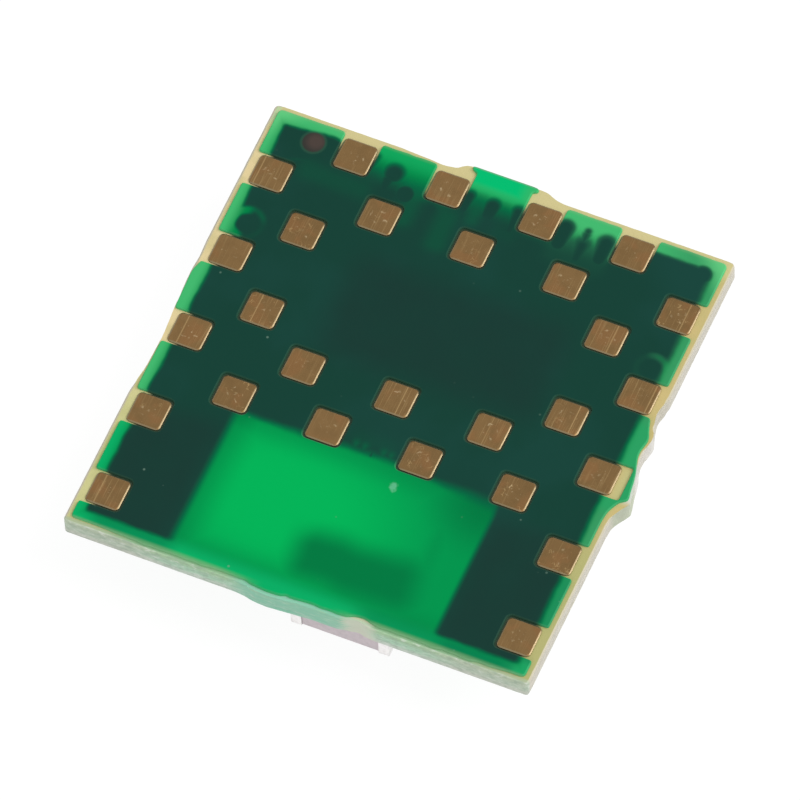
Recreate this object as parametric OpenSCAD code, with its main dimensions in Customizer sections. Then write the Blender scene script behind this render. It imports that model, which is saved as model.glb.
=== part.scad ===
// A surface-mount short-range radio module, lying on its shield can with the contact pads upwards.
// The origin is under the middle of the board, on the flat outer face of the can. Millimetres.

/* [Board] */
// Width of the board between its routed sides
board_w = 8.95; // [8.6:0.05:10.5]
// Length of the board from the antenna edge to the far edge
board_l = 9.45; // [9.2:0.05:11]
// Thickness of the glass-epoxy laminate
board_t = 0.4; // [0.2:0.05:1]
// Radius of the board's corners
board_corner_r = 0.08; // [0.02:0.01:0.2]
// Thickness of the copper on both faces
copper_t = 0.035; // [0.015:0.005:0.07]
// Thickness of the solder mask over the copper
mask_t = 0.02; // [0.01:0.005:0.03]
// Strip of bare laminate between the solder mask and the board's edge
mask_pullback = 0.11; // [0.05:0.01:0.15]
// Radius of the solder mask's corners
mask_corner_r = 0.05; // [0.02:0.01:0.1]

/* [Contact pads] */
// Distance from one pad to the next along a row or a column
pad_pitch = 1.8; // [1.75:0.01:1.85]
// Side of a square pad
pad_size = 0.65; // [0.45:0.01:0.7]
// Radius of a pad's corners
pad_corner_r = 0.08; // [0.04:0.01:0.15]
// Bare laminate between a pad and the solder mask round it
pad_moat = 0.035; // [0.03:0.005:0.06]
// Distance from an outer pad to the board's edge
pad_edge_gap = 0.19; // [0.15:0.005:0.25]
// Number of pads in each outer column
column_pads = 5; // [4:1:5]
// Distance from the pad ring's middle to the rows inside it
inner_row_y = 1.7; // [1.65:0.01:1.75]
// Distance from the board's centre line to the columns inside the ring
inner_column_x = 2.95; // [2.8:0.01:3]

/* [Ground copper] */
// Distance that the ground copper stays back from the board's edge
ground_margin = 0.32; // [0.25:0.01:0.4]
// Width of the copper-free window under the antenna
window_w = 5.1; // [4:0.05:5.4]
// Distance from the lower pad row's middle to the window
window_gap = 0.285; // [0.2:0.005:0.35]
// Width of the notch in the ground copper along the far edge
notch_w = 4.8; // [4.2:0.05:5]
// Distance from the far edge to the notch's floor
notch_depth = 0.85; // [0.7:0.01:0.95]
// Radius of the copper dot that marks the first pad's corner
index_dot_r = 0.2; // [0.12:0.01:0.25]
// Radius of the through-hole lands beside the outer columns
via_land_r = 0.21; // [0.12:0.01:0.24]
// Ring without copper round the dot and the through-hole lands
land_ring = 0.06; // [0.04:0.01:0.08]
// Distance from the pad ring's middle to the through-hole lands
via_rise = 0.64; // [0.64:0.01:0.8]
// Solder mask between a pad's opening and the ground copper
copper_clearance = 0.06; // [0.03:0.01:0.08]

/* [Shield can] */
// Height of the can
can_h = 1.33; // [1.1:0.01:1.8]
// Length of the can along the board
can_l = 5.6; // [5.5:0.05:5.8]
// Gap from the can to the board's edges
can_edge_gap = 0.45; // [0.4:0.01:0.5]
// Thickness of the can's sheet
can_t = 0.15; // [0.1:0.01:0.2]
// Outside radius of the can's folded edges
can_bend_r = 0.3; // [0.22:0.01:0.4]
// Slit left open at each folded corner
corner_slit = 0.12; // [0.06:0.01:0.2]
// Height of the notches between the can's feet
foot_notch_h = 0.25; // [0.1:0.01:0.4]
// Width of a notch between two feet
foot_notch_w = 0.5; // [0.3:0.05:0.6]
// Distance between two notches
foot_pitch = 1.3; // [1.1:0.05:1.6]
// Width of the frame of copper that the can is soldered to
can_land_w = 0.3; // [0.22:0.01:0.34]

/* [Antenna] */
// Length of the chip antenna
antenna_l = 1.9; // [1.6:0.05:2.4]
// Width of the chip antenna
antenna_w = 1.2; // [0.8:0.05:1.3]
// Height of the chip antenna
antenna_h = 0.6; // [0.4:0.05:0.8]
// Distance of the antenna's middle from the board's centre line
antenna_x = 0.76; // [0.3:0.01:1]
// Gap from the antenna to the board's edge
antenna_setback = 0.19; // [0.15:0.01:0.3]
// Length of the metal cap on each end of the antenna
antenna_cap_l = 0.21; // [0.2:0.01:0.4]
// Width of the strip that feeds the antenna
feed_w = 0.35; // [0.2:0.01:0.45]
// Length of the feed strip inside the can
feed_inside = 0.75; // [0.7:0.01:0.8]

/* [Parts under the can] */
// Side of the square radio chip
chip_w = 2.5; // [2.2:0.05:2.6]
// Thickness of the radio chip
chip_t = 0.4; // [0.3:0.05:0.5]
// Diameter of the chip's solder balls
ball_d = 0.26; // [0.2:0.01:0.3]
// Height of a solder ball after soldering
ball_h = 0.195; // [0.15:0.005:0.195]
// Distance between the solder balls
ball_pitch = 0.4; // [0.34:0.01:0.42]
// Solder balls along one side of the chip
ball_rows = 6; // [3:1:6]
// Length of the main crystal
main_crystal_l = 2; // [1.6:0.05:2.2]
// Width of the main crystal
main_crystal_w = 1.6; // [1.2:0.05:1.7]
// Length of the slow crystal
slow_crystal_l = 2; // [1.6:0.05:2.2]
// Width of the slow crystal
slow_crystal_w = 1.2; // [1:0.05:1.3]
// Height of both crystals
crystal_h = 0.5; // [0.3:0.05:0.8]
// Thickness of the metal lid on a crystal
crystal_lid_t = 0.1; // [0.05:0.01:0.15]
// Distance from the edge of a crystal's case to its lid
lid_inset = 0.06; // [0.03:0.01:0.15]
// Length of the power inductor
inductor_l = 1.6; // [1:0.05:1.7]
// Width of the power inductor
inductor_w = 0.8; // [0.5:0.05:0.9]
// Height of the power inductor
inductor_h = 0.7; // [0.4:0.05:0.9]
// Length of a capacitor
capacitor_l = 1; // [0.6:0.05:1.05]
// Width of a capacitor
capacitor_w = 0.5; // [0.3:0.05:0.55]
// Height of a capacitor
capacitor_h = 0.5; // [0.3:0.05:0.6]
// Length of a matching part
matching_l = 0.6; // [0.4:0.05:0.65]
// Width of a matching part
matching_w = 0.3; // [0.2:0.05:0.35]
// Height of a matching part
matching_h = 0.3; // [0.2:0.05:0.4]
// Thickness of the metal cap over the end of a part
cap_t = 0.02; // [0.01:0.005:0.04]
// Thickness of the solder between a part and its land
solder_t = 0.05; // [0.04:0.005:0.08]
// Distance that a land reaches past the cap on it
land_grow = 0.06; // [0.03:0.01:0.08]
// Length of a crystal's corner land
crystal_land_l = 0.5; // [0.4:0.05:0.6]
// Width of a crystal's corner land
crystal_land_w = 0.45; // [0.35:0.05:0.48]

/* [Hidden] */
$fn = 48;

// Heights, from the can's outer face up to the solder mask over the pads
z_part_land = can_h;
z_component_face = z_part_land + copper_t;
z_host_face = z_component_face + board_t;
z_part_seat = z_part_land - solder_t;

// Places of the pads
edge_x = board_w / 2;
edge_y = board_l / 2;
outer_column_x = edge_x - pad_edge_gap - pad_size / 2;
upper_row_y = edge_y - pad_edge_gap - pad_size / 2;
half_ring = 1.5 * pad_pitch;
ring_y = upper_row_y - half_ring;
lower_row_y = ring_y - half_ring;
opening_w = pad_size + 2 * pad_moat;
opening_r = pad_corner_r + pad_moat / 2;
column_y = [for (i = [0 : column_pads - 1]) ring_y + (1 - i) * pad_pitch];
row_x = [for (i = [-1.5 : 1 : 1.5]) i * pad_pitch];
left_pads = [for (y = column_y) [-outer_column_x, y]];
right_pads = [for (y = column_y) [outer_column_x, y]];
upper_pads = [for (x = row_x) [x, upper_row_y]];
lower_pads = [for (x = row_x) [x, lower_row_y]];
inner_row_pads = [for (s = [1, -1], i = [-1 : 1]) [i * pad_pitch, ring_y + s * inner_row_y]];
inner_column_pads =
    [for (s = [1, -1], i = [-0.5, 0.5]) [s * inner_column_x, ring_y + i * pad_pitch]];
inner_pads = concat(inner_row_pads, inner_column_pads);

// Torn edges where the break-off tabs were: place along the edge, and reach beyond it
tear_upper = [[-2, 0], [-1.5, -0.03], [-1.2, -0.055], [-0.96, -0.02], [-0.85, 0.045],
    [-0.7, 0.11], [-0.3, 0.115], [0.3, 0.115], [0.65, 0.11], [0.8, 0.095], [0.96, 0.03], [1.15, 0]];
tear_right = [[1.7, 0], [1.5, -0.035], [1.29, -0.07], [1.05, -0.02], [0.81, 0.06], [0.6, 0.035],
    [0.44, 0.01], [0.25, 0.02], [-0.01, 0.1], [-0.3, 0.15], [-0.56, 0.21], [-0.66, 0.195],
    [-0.86, 0.075], [-1, 0.02], [-1.2, 0]];
tear_lower = [[-1.15, 0], [-0.92, 0.025], [-0.8, 0.045], [-0.55, 0.065], [-0.3, 0.05], [0, 0.03],
    [0.4, 0.015], [0.8, 0.015], [1, -0.02], [1.2, -0.06], [1.4, -0.01], [1.6, 0]];
tear_left = [[1.6, 0], [1.25, -0.015], [0.9, 0], [0.3, -0.025], [0.05, -0.045], [-0.3, -0.075],
    [-0.6, -0.09], [-1, -0.08], [-1.3, -0.07], [-1.6, -0.025], [-1.85, 0]];

// The same tears in the solder mask, which ran on over the tabs
mask_tear_upper = [[-0.74, 0], [-0.7, 0.05], [-0.67, 0.17], [-0.64, 0.215], [-0.3, 0.22],
    [0.3, 0.22], [0.6, 0.215], [0.63, 0.17], [0.66, 0.05], [0.7, 0]];
mask_tear_right = [[1.5, 0], [1.25, -0.04], [1.05, 0], [0.9, 0.05], [0.72, 0.115],
    [0.58, 0.095], [0.4, 0.07], [0.22, 0.105], [0.03, 0.165], [-0.15, 0.205], [-0.4, 0.24],
    [-0.58, 0.265], [-0.66, 0.15], [-0.8, 0.075], [-0.95, 0.02], [-1.2, 0], [-1.5, 0]];
mask_tear_lower = [[-1.1, 0], [-0.97, 0.03], [-0.88, 0.07], [-0.7, 0.09], [-0.55, 0.105],
    [-0.25, 0.09], [-0.18, 0.035], [-0.1, 0.07], [0.3, 0.04], [0.7, 0.05], [0.85, 0.045],
    [0.95, 0.01], [1.2, -0.03], [1.3, -0.035], [1.4, -0.01], [1.6, 0]];
mask_tear_left = [[1.4, 0], [1.1, 0.025], [0.9, 0.08], [0.5, 0.07], [0.1, 0.055], [-0.3, 0.02],
    [-0.65, 0], [-1.1, 0], [-1.4, 0.005], [-1.7, 0]];
curve_steps = 3;

// Ground copper: fingers that reach into the notch at the far edge, as place, reach and width,
// and round lands at the copper's edge, as place and radius
notch_floor_y = edge_y - notch_depth;
ground_fingers = [[-1.9, 0.48, 0.36], [-0.46, 0.46, 0.3], [0.02, 0.47, 0.34], [0.46, 0.48, 0.3],
    [1.37, 0.56, 0.36], [1.78, 0.53, 0.12], [2.19, 0.53, 0.36]];
ground_lands = [[-1.52, 3.8, 0.17], [4.02, 4.27, 0.2]];
window_top_y = lower_row_y - window_gap;
index_dot = [-outer_column_x + pad_pitch / 4, upper_row_y];
via_lands = [for (s = [-1, 1]) [s * outer_column_x, ring_y + via_rise]];

// Shield can
can_w = board_w - 2 * can_edge_gap;
can_far_y = edge_y - can_edge_gap;
can_y = can_far_y - can_l / 2;
can_near_y = can_far_y - can_l;
mouse_hole_w = 2 * feed_w;
mouse_hole_h = 2 * foot_notch_h;

// Antenna and its lands
antenna_y = -edge_y + antenna_setback + antenna_w / 2;
antenna_land_l = antenna_cap_l + 2 * land_grow;
antenna_end_x = antenna_l / 2 - antenna_cap_l / 2;
feed_x = antenna_x - antenna_end_x;
feed_start_y = can_near_y + feed_inside;

// Parts under the can, each as its place from the can's middle and its turn
antenna_size = [antenna_l, antenna_w, antenna_h];
main_crystal = [main_crystal_l, main_crystal_w, crystal_h];
slow_crystal = [slow_crystal_l, slow_crystal_w, crystal_h];
crystal_land = [crystal_land_l, crystal_land_w];
inductor_size = [inductor_l, inductor_w, inductor_h];
capacitor_size = [capacitor_l, capacitor_w, capacitor_h];
matching_size = [matching_l, matching_w, matching_h];
chip_place = [-0.35, 0.1];
main_crystal_place = [2.45, 1.3];
slow_crystal_place = [-2.6, 1.75];
inductor_places = [[-2.75, 0.35, 0]];
capacitor_places = [[-2.9, -0.75, 0], [-2.9, -1.55, 0], [1.75, -0.35, 90], [2.55, -0.35, 90],
    [3.3, -0.35, 90], [0.55, 2.05, 0]];
matching_places = [[-0.9, 1.85, 0], [-0.9, 2.3, 0], [1.9, -1.65, 0], [2.8, -1.65, 0],
    [feed_x, feed_start_y - can_y + matching_size[0] / 2, 90], [feed_x - 0.9, -1.7, 0]];

// Shapes that repeat

function catmull(a, b, c, d, t) =
    0.5 * (2 * b + (c - a) * t + (2 * a - 5 * b + 4 * c - d) * t * t
        + (3 * b - a - 3 * c + d) * t * t * t);

function smooth_run(p) = let (last = len(p) - 1) concat(
    [for (i = [0 : last - 1], k = [0 : curve_steps - 1])
        catmull(p[max(i - 1, 0)], p[i], p[i + 1], p[min(i + 2, last)], k / curve_steps)],
    [p[last]]);

function reversed(p) = [for (i = [len(p) - 1 : -1 : 0]) p[i]];

function corner_arc(x, y, r, from) =
    [for (a = [0 : 22.5 : 90]) [x + r * cos(from - a), y + r * sin(from - a)]];

// A rectangle with small round corners and a torn run on each side
module torn_rectangle(w, l, r, upper, right, lower, left) {
    x = w / 2;
    y = l / 2;
    polygon(concat(
        corner_arc(-x + r, y - r, r, 180),
        [for (p = smooth_run(upper)) [p[0], y + p[1]]],
        corner_arc(x - r, y - r, r, 90),
        [for (p = smooth_run(right)) [x + p[1], p[0]]],
        corner_arc(x - r, -y + r, r, 0),
        [for (p = smooth_run(reversed(lower))) [p[0], -y - p[1]]],
        corner_arc(-x + r, -y + r, r, -90),
        [for (p = smooth_run(reversed(left))) [-x - p[1], p[0]]]
    ));
}

module rounded_rectangle(w, l, r) {
    square([w - 2 * r, l], center = true);
    square([w, l - 2 * r], center = true);
    for (sx = [-1, 1], sy = [-1, 1])
        translate([sx * (w / 2 - r), sy * (l / 2 - r)])
            circle(r);
}

module board_outline() {
    torn_rectangle(board_w, board_l, board_corner_r, tear_upper, tear_right, tear_lower, tear_left);
}

module mask_outline() {
    intersection() {
        torn_rectangle(board_w - 2 * mask_pullback, board_l - 2 * mask_pullback, mask_corner_r,
            mask_tear_upper, mask_tear_right, mask_tear_lower, mask_tear_left);
        board_outline();
    }
}

module pad_group(places) {
    for (p = places)
        translate([p[0], p[1], z_host_face])
            linear_extrude(copper_t)
                rounded_rectangle(pad_size, pad_size, pad_corner_r);
}

// Openings round the pads; those of the outer pads run out squarely to the board's edge
module pad_openings(grow) {
    w = opening_w + 2 * grow;
    r = opening_r + grow;
    run_out = pad_size / 2 + pad_edge_gap - opening_w / 2;
    for (p = concat(inner_pads, lower_pads))
        translate(p)
            rounded_rectangle(w, w, r);
    long = w + run_out;
    end_r = mask_corner_r + grow;
    for (s = [-1, 1], y = column_y)
        translate([s * (outer_column_x + run_out / 2), y]) {
            rounded_rectangle(long, w, r);
            translate([s * long / 4, 0])
                rounded_rectangle(long / 2, w, end_r);
        }
    for (p = upper_pads)
        translate([p[0], p[1] + run_out / 2]) {
            rounded_rectangle(w, long, r);
            translate([0, long / 4])
                rounded_rectangle(w, long / 2, end_r);
        }
}

module ground_shape() {
    x = edge_x - ground_margin;
    y = edge_y - ground_margin;
    difference() {
        union() {
            difference() {
                square([2 * x, 2 * y], center = true);
                translate([-window_w / 2, -edge_y])
                    square([window_w, window_top_y + edge_y]);
                translate([-notch_w / 2, notch_floor_y])
                    square([notch_w, notch_depth]);
            }
            for (f = ground_fingers)
                translate([f[0], notch_floor_y]) {
                    translate([-f[2] / 2, -pad_moat])
                        square([f[2], f[1] - f[2] / 2 + pad_moat]);
                    translate([0, f[1] - f[2] / 2])
                        circle(f[2] / 2);
                }
            for (g = ground_lands)
                translate([g[0], g[1]])
                    circle(g[2]);
        }
        pad_openings(copper_clearance);
        translate(index_dot)
            circle(index_dot_r + land_ring);
        for (p = via_lands)
            translate(p)
                circle(via_land_r + land_ring);
    }
    translate(index_dot)
        circle(index_dot_r);
    difference() {
        for (p = via_lands)
            translate(p)
                circle(via_land_r);
        pad_openings(copper_clearance);
    }
}

// Places and turns a part with two end caps, hanging from its solder
module at_part(place) {
    translate([place[0], can_y + place[1], z_part_seat])
        rotate([0, 0, place[2]])
            children();
}

module part_core(size) {
    inner = [size[0] - 2 * cap_t, size[1] - 2 * cap_t, size[2] - 2 * cap_t];
    translate([0, 0, -size[2] / 2])
        cube(inner, center = true);
}

module part_caps(size, cap_l) {
    for (s = [-1, 1])
        difference() {
            translate([s * (size[0] - cap_l) / 2, 0, -size[2] / 2])
                cube([cap_l, size[1], size[2]], center = true);
            part_core(size);
        }
}

function cap_length(size) = size[0] / 4;

module part_land_pair(size, cap_l) {
    for (s = [-1, 1])
        translate([s * (size[0] - cap_l) / 2, 0])
            square([cap_l + 2 * land_grow, size[1] + 2 * land_grow], center = true);
}

// Solder under a cap, with a sloped fillet up a third of the part's end
module part_solder(size, cap_l) {
    fillet_h = size[2] / 3;
    for (s = [0, 180])
        rotate([0, 0, s])
            translate([size[0] / 2, size[1] / 2, 0])
                rotate([90, 0, 0])
                    linear_extrude(size[1])
                        polygon([[-cap_l, 0], [-cap_l, solder_t], [land_grow, solder_t],
                            [land_grow, solder_t / 2], [0, -fillet_h], [0, 0]]);
}

module crystal_corners(size) {
    for (sx = [-1, 1], sy = [-1, 1])
        translate([sx * (size[0] - crystal_land[0]) / 2, sy * (size[1] - crystal_land[1]) / 2])
            children();
}

module ball_places() {
    first = -(ball_rows - 1) / 2 * ball_pitch;
    for (i = [0 : ball_rows - 1], j = [0 : ball_rows - 1])
        translate([chip_place[0] + first + i * ball_pitch, can_y + chip_place[1] + first + j * ball_pitch])
            children();
}

module all_part_lands() {
    for (p = inductor_places)
        translate([p[0], can_y + p[1]])
            rotate(p[2])
                part_land_pair(inductor_size, cap_length(inductor_size));
    for (p = capacitor_places)
        translate([p[0], can_y + p[1]])
            rotate(p[2])
                part_land_pair(capacitor_size, cap_length(capacitor_size));
    for (p = matching_places)
        translate([p[0], can_y + p[1]])
            rotate(p[2])
                part_land_pair(matching_size, cap_length(matching_size));
    translate([main_crystal_place[0], can_y + main_crystal_place[1]])
        crystal_corners(main_crystal)
            square(crystal_land, center = true);
    translate([slow_crystal_place[0], can_y + slow_crystal_place[1]])
        crystal_corners(slow_crystal)
            square(crystal_land, center = true);
    ball_places()
        circle(d = ball_d);
}

module can_frame_shape() {
    translate([0, can_y])
        difference() {
            square([can_w + can_land_w, can_l + can_land_w], center = true);
            square([can_w - can_land_w - can_t, can_l - can_land_w - can_t], center = true);
            translate([feed_x - mouse_hole_w / 2, -can_l])
                square([mouse_hole_w, can_l]);
        }
}

module antenna_land_shape() {
    for (s = [-1, 1])
        translate([antenna_x + s * antenna_end_x, antenna_y])
            square([antenna_land_l, antenna_w + 2 * land_grow], center = true);
}

module feed_shape() {
    top = antenna_y + antenna_w / 2 + land_grow;
    translate([feed_x - feed_w / 2, top])
        square([feed_w, feed_start_y - land_grow - top]);
}

// One folded side of the can: a strip of the flat face, its bend and its wall with feet
module can_side(length, depth) {
    strip = length - 2 * (can_bend_r + corner_slit);
    wall = length - 2 * (can_t + corner_slit);
    notches = floor((strip - foot_notch_w) / foot_pitch);
    translate([-strip / 2, -depth / 2, 0])
        cube([strip, depth / 2, can_t]);
    translate([0, -depth / 2, can_bend_r])
        rotate([90, 0, 90])
            translate([0, 0, -strip / 2])
                linear_extrude(strip)
                    intersection() {
                        difference() {
                            circle(can_bend_r);
                            circle(can_bend_r - can_t);
                        }
                        translate([-can_bend_r, -can_bend_r])
                            square(can_bend_r);
                    }
    difference() {
        translate([-wall / 2, -depth / 2 - can_bend_r, can_bend_r])
            cube([wall, can_t, can_h - can_bend_r]);
        for (i = [0 : notches - 1])
            translate([(i - (notches - 1) / 2) * foot_pitch, -depth / 2 - can_bend_r, can_h])
                cube([foot_notch_w, 4 * can_t, 2 * foot_notch_h], center = true);
    }
}

// Sub-parts, from the laminate outwards

module board_laminate() {
    color([0.79, 0.72, 0.5])
        translate([0, 0, z_component_face])
            linear_extrude(board_t)
                board_outline();
}

module ground_copper() {
    color([0.1, 0.25, 0.2])
        translate([0, 0, z_host_face])
            linear_extrude(copper_t)
                ground_shape();
}

module contact_pads_left() {
    color([0.55, 0.43, 0.28])
        pad_group(left_pads);
}

module contact_pads_right() {
    color([0.55, 0.43, 0.28])
        pad_group(right_pads);
}

module contact_pads_upper() {
    color([0.55, 0.43, 0.28])
        pad_group(upper_pads);
}

module contact_pads_lower() {
    color([0.55, 0.43, 0.28])
        pad_group(lower_pads);
}

module contact_pads_inner() {
    color([0.55, 0.43, 0.28])
        pad_group(inner_pads);
}

module host_solder_mask() {
    color([0, 0.62, 0.3])
        translate([0, 0, z_host_face])
            difference() {
                linear_extrude(copper_t + mask_t)
                    difference() {
                        mask_outline();
                        pad_openings(0);
                    }
                linear_extrude(copper_t)
                    ground_shape();
            }
}

module part_lands() {
    color([0.78, 0.62, 0.32])
        translate([0, 0, z_part_land])
            linear_extrude(copper_t)
                all_part_lands();
}

module can_frame_land() {
    color([0.78, 0.62, 0.32])
        translate([0, 0, z_part_land])
            linear_extrude(copper_t)
                can_frame_shape();
}

module antenna_lands() {
    color([0.78, 0.62, 0.32])
        translate([0, 0, z_part_land])
            linear_extrude(copper_t)
                antenna_land_shape();
}

module antenna_feed_strip() {
    color([0.75, 0.45, 0.25])
        translate([0, 0, z_part_land])
            linear_extrude(copper_t)
                feed_shape();
}

module component_solder_mask() {
    color([0, 0.5, 0.25])
        translate([0, 0, z_part_land - mask_t])
            difference() {
                linear_extrude(copper_t + mask_t)
                    difference() {
                        mask_outline();
                        all_part_lands();
                        can_frame_shape();
                        antenna_land_shape();
                    }
                translate([0, 0, mask_t])
                    linear_extrude(copper_t)
                        feed_shape();
            }
}

module solder_joints() {
    color([0.75, 0.76, 0.78]) {
        translate([antenna_x, antenna_y, z_part_seat])
            part_solder(antenna_size, antenna_cap_l);
        for (p = inductor_places)
            at_part(p)
                part_solder(inductor_size, cap_length(inductor_size));
        for (p = capacitor_places)
            at_part(p)
                part_solder(capacitor_size, cap_length(capacitor_size));
        for (p = matching_places)
            at_part(p)
                part_solder(matching_size, cap_length(matching_size));
        for (c = [[main_crystal_place, main_crystal], [slow_crystal_place, slow_crystal]])
            at_part([c[0][0], c[0][1], 0])
                linear_extrude(solder_t)
                    crystal_corners(c[1])
                        square(crystal_land, center = true);
    }
}

module shield_can() {
    color([0.72, 0.73, 0.74])
        translate([0, can_y, 0])
            difference() {
                union() {
                    for (s = [0, 180])
                        rotate([0, 0, s])
                            can_side(can_w, can_l - 2 * can_bend_r);
                    for (s = [90, 270])
                        rotate([0, 0, s])
                            can_side(can_l, can_w - 2 * can_bend_r);
                }
                translate([feed_x, -can_l / 2, can_h])
                    cube([mouse_hole_w, 4 * can_t, 2 * mouse_hole_h], center = true);
            }
}

module antenna_body() {
    color([0.8, 0.77, 0.78])
        translate([antenna_x, antenna_y, z_part_seat])
            part_core(antenna_size);
}

module antenna_end_caps() {
    color([0.92, 0.92, 0.92])
        translate([antenna_x, antenna_y, z_part_seat])
            part_caps(antenna_size, antenna_cap_l);
}

module radio_chip() {
    color([0.15, 0.15, 0.17])
        translate([chip_place[0], can_y + chip_place[1], z_part_land - ball_h - chip_t / 2])
            cube([chip_w, chip_w, chip_t], center = true);
}

module radio_chip_balls() {
    color([0.75, 0.76, 0.78])
        intersection() {
            translate([0, 0, z_part_land - ball_h / 2])
                ball_places()
                    sphere(d = ball_d);
            translate([-board_w / 2, -board_l / 2, z_part_land - ball_h])
                cube([board_w, board_l, ball_h]);
        }
}

module crystal_case(place, size) {
    at_part([place[0], place[1], 0])
        translate([0, 0, (crystal_lid_t - size[2]) / 2])
            cube([size[0], size[1], size[2] - crystal_lid_t], center = true);
}

module crystal_lid(place, size) {
    at_part([place[0], place[1], 0])
        translate([0, 0, -size[2]])
            linear_extrude(crystal_lid_t)
                rounded_rectangle(size[0] - 2 * lid_inset, size[1] - 2 * lid_inset, lid_inset);
}

module main_crystal_case() {
    color([0.85, 0.83, 0.76])
        crystal_case(main_crystal_place, main_crystal);
}

module main_crystal_lid() {
    color([0.8, 0.78, 0.7])
        crystal_lid(main_crystal_place, main_crystal);
}

module slow_crystal_case() {
    color([0.85, 0.83, 0.76])
        crystal_case(slow_crystal_place, slow_crystal);
}

module slow_crystal_lid() {
    color([0.8, 0.78, 0.7])
        crystal_lid(slow_crystal_place, slow_crystal);
}

module power_inductor_body() {
    color([0.3, 0.3, 0.32])
        for (p = inductor_places)
            at_part(p)
                part_core(inductor_size);
}

module power_inductor_end_caps() {
    color([0.8, 0.81, 0.82])
        for (p = inductor_places)
            at_part(p)
                part_caps(inductor_size, cap_length(inductor_size));
}

module capacitor_bodies() {
    color([0.62, 0.5, 0.38])
        for (p = capacitor_places)
            at_part(p)
                part_core(capacitor_size);
}

module capacitor_end_caps() {
    color([0.8, 0.81, 0.82])
        for (p = capacitor_places)
            at_part(p)
                part_caps(capacitor_size, cap_length(capacitor_size));
}

module matching_bodies() {
    color([0.35, 0.38, 0.5])
        for (p = matching_places)
            at_part(p)
                part_core(matching_size);
}

module matching_end_caps() {
    color([0.8, 0.81, 0.82])
        for (p = matching_places)
            at_part(p)
                part_caps(matching_size, cap_length(matching_size));
}

board_laminate();
ground_copper();
contact_pads_left();
contact_pads_right();
contact_pads_upper();
contact_pads_lower();
contact_pads_inner();
host_solder_mask();
part_lands();
can_frame_land();
antenna_lands();
antenna_feed_strip();
component_solder_mask();
solder_joints();
shield_can();
antenna_body();
antenna_end_caps();
radio_chip();
radio_chip_balls();
main_crystal_case();
main_crystal_lid();
slow_crystal_case();
slow_crystal_lid();
power_inductor_body();
power_inductor_end_caps();
capacitor_bodies();
capacitor_end_caps();
matching_bodies();
matching_end_caps();
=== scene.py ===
import math

import bmesh
import bpy
from mathutils import Matrix, Vector, geometry, kdtree, noise


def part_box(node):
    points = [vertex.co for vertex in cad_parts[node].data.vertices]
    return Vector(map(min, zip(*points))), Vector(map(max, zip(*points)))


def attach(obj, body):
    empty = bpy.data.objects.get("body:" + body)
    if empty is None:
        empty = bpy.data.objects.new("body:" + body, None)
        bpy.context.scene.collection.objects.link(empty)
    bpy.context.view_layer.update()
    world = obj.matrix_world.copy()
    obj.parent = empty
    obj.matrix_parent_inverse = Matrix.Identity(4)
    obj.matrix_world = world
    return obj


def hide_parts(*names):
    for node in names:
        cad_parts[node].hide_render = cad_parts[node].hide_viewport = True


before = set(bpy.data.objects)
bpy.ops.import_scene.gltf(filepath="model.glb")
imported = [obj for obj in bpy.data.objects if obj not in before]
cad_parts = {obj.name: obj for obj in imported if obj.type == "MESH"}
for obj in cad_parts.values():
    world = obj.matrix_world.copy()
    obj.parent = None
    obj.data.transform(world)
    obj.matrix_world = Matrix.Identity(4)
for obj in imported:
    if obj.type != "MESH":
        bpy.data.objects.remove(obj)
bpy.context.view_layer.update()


# Board laminate
# A sheet of glass-epoxy, routed out of a larger panel on all four sides. The small tabs that held
# it there were snapped off by hand, so each side keeps a torn and whitened break of the glass fibre.

mm = 0.001
merge_reach = 0.0001 * mm
board_half_w = 4.475 * mm
board_half_l = 4.725 * mm
edge_step = 0.03 * mm
routed_depth = 0.005 * mm
torn_depth = 0.035 * mm
torn_from = 0.008 * mm
torn_to = 0.035 * mm
# Share of the height from which torn fibre frays in full, and share of its depth that it loses by the top
fray_foot = 0.2
fray_lost = 0.8
# Waves of the router's chatter and of the torn fibre to a millimetre, along x, y and z
routed_grain = Vector((9, 9, 3))
torn_grain = Vector((5, 5, 11))
# Where wear of the rims starts and is full, in millimetres from the board's middle, and its strength
front_rim = (4.5, 4.7)
side_rim = (4.3, 4.44)
left_wear = 1.4
right_wear = 0.7
least_wear = 0.3
# Heights up the board's side as shares of its thickness, and how far in millimetres wear cuts it back there
side_levels = [(0, 0.014), (0.03, 0.004), (0.08, 0), (0.2, 0), (0.32, 0), (0.44, 0), (0.56, 0), (0.68, 0),
               (0.8, 0), (0.92, 0), (0.95, 0.004), (0.975, 0.014), (0.99, 0.026), (1, 0.042)]


def smoothed(value, low, high):
    """0 at low, 1 at high, and an even curve between them."""
    t = min(max((value - low) / (high - low), 0), 1)
    return t * t * (3 - 2 * t)


def cad_copy(node):
    """A merged copy of a CAD node's mesh, its triangles joined into flat faces."""
    work = bmesh.new()
    work.from_mesh(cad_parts[node].data)
    bmesh.ops.remove_doubles(work, verts=work.verts, dist=merge_reach)
    bmesh.ops.dissolve_limit(work, angle_limit=math.radians(0.5), verts=work.verts, edges=work.edges)
    return work


def top_outlines(work):
    """Uses up a solid's bmesh, for the outlines of its flat top with the solid on their left."""
    facing_up = 0.9
    top = max(v.co.z for v in work.verts)
    for face in work.faces:
        face.tag = face.normal.z > facing_up and face.calc_center_median().z > top - merge_reach
    follows = {}
    for face in work.faces:
        for loop in face.loops:
            if face.tag and sum(near.tag for near in loop.edge.link_faces) == 1:
                follows[loop.vert] = loop.link_loop_next.vert
    outlines = []
    while follows:
        start, vert = follows.popitem()
        outline = [start.co.xy]
        while vert is not start:
            outline.append(vert.co.xy)
            vert = follows.pop(vert)
        outlines.append(outline)
    work.free()
    return outlines


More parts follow.
